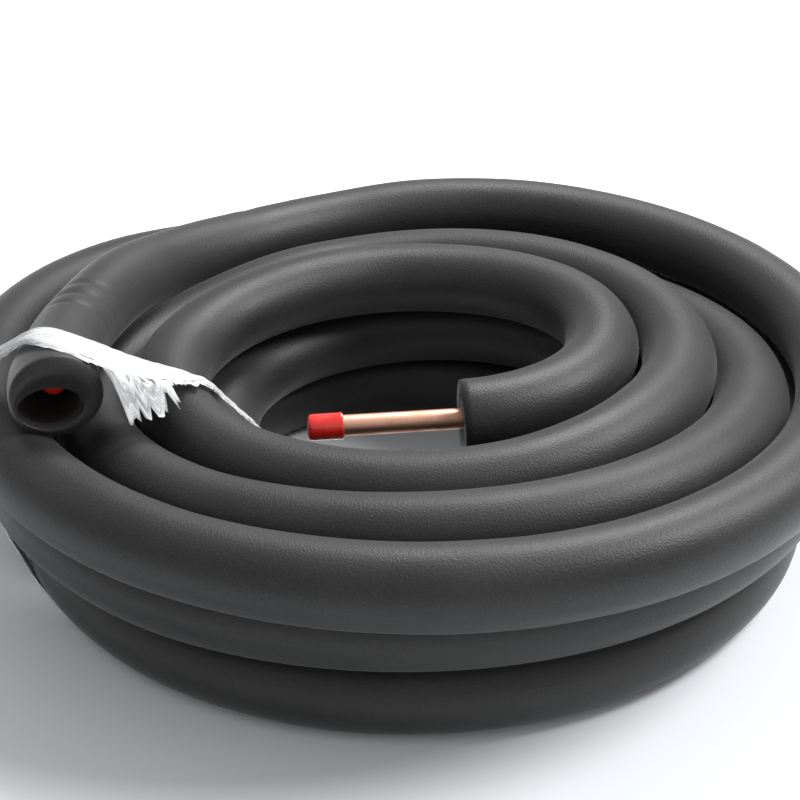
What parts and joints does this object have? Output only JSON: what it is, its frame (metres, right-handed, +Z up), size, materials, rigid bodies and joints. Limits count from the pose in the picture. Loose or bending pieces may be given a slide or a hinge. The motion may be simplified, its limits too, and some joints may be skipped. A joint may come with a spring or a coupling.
{
  "type": "insulated refrigerant line set coil",
  "caption": "Loose coil of copper refrigerant line in black foam insulation, with vinyl caps on the copper ends and a stretch film strip round the bundle.",
  "frame": {"origin": "centre of the coil's footprint on the floor", "axes": "+Z up, square to the coil's flat side; the outer end points to -X and -Y, and the bare copper end points to -X inside the coil"},
  "size_m": [0.4284, 0.4214, 0.1357],
  "materials": {
    "black_foam": "matt closed-cell foam with a fine grained skin",
    "copper": null,
    "red_vinyl": "glossy soft vinyl",
    "clear_film": "clear stretch film gathered into creases"
  },
  "bodies": {
    "root": {"insulation": "black_foam", "copper_tube": "copper", "inner_end_cap": "red_vinyl", "outer_end_cap": "red_vinyl", "stretch_film": "clear_film"}
  },
  "joints": []
}
